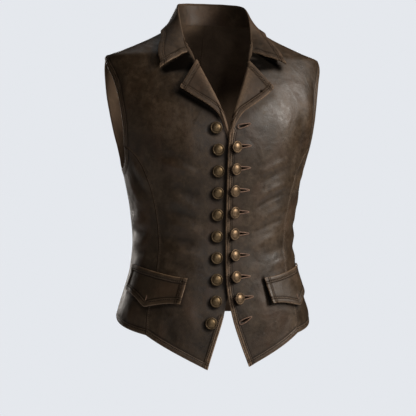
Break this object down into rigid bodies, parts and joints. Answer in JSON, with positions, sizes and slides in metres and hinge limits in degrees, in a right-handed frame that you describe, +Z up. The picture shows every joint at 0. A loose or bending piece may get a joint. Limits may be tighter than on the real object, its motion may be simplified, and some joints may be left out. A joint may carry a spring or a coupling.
{
  "type": "leather vest",
  "caption": "Sleeveless brown leather vest as worn: turned-back lapels, turned-down collar, scalloped pocket flaps, domed brass buttons and corded buttonholes.",
  "frame": {"origin": "between the shoulders, at the height of the middle of the shoulder slopes and on the vest's own axis, where the wearer carries it", "axes": "+Z up through the neck opening, -Y out of the buttoned front, +X towards the wearer's left"},
  "size_m": [0.4274, 0.2762, 0.7156],
  "materials": {
    "panel_leather": "worn, waxed dark brown hide",
    "collar_leather": "the same hide, rubbed lighter",
    "button_metal": "aged, darkened brass",
    "hole_cord": "waxed cord, red-brown"
  },
  "bodies": {
    "root": {"front_left": "panel_leather", "front_right": "panel_leather", "side_front_left": "panel_leather", "side_front_right": "panel_leather", "back_left": "panel_leather", "back_right": "panel_leather", "pocket_flap_left": "panel_leather", "pocket_flap_right": "panel_leather", "lapel_left": "collar_leather", "lapel_right": "collar_leather", "collar": "collar_leather", "button_right_01": "button_metal", "button_right_02": "button_metal", "button_right_03": "button_metal", "button_right_04": "button_metal", "button_right_05": "button_metal", "button_right_06": "button_metal", "button_right_07": "button_metal", "button_right_08": "button_metal", "button_right_09": "button_metal", "button_right_10": "button_metal", "button_left_02": "button_metal", "button_left_03": "button_metal", "button_left_04": "button_metal", "button_left_05": "button_metal", "button_left_06": "button_metal", "button_left_07": "button_metal", "button_left_08": "button_metal", "button_left_09": "button_metal", "buttonhole_01": "hole_cord", "buttonhole_02": "hole_cord", "buttonhole_03": "hole_cord", "buttonhole_04": "hole_cord", "buttonhole_05": "hole_cord", "buttonhole_06": "hole_cord", "buttonhole_07": "hole_cord", "buttonhole_08": "hole_cord", "buttonhole_09": "hole_cord", "buttonhole_10": "hole_cord"}
  },
  "joints": []
}
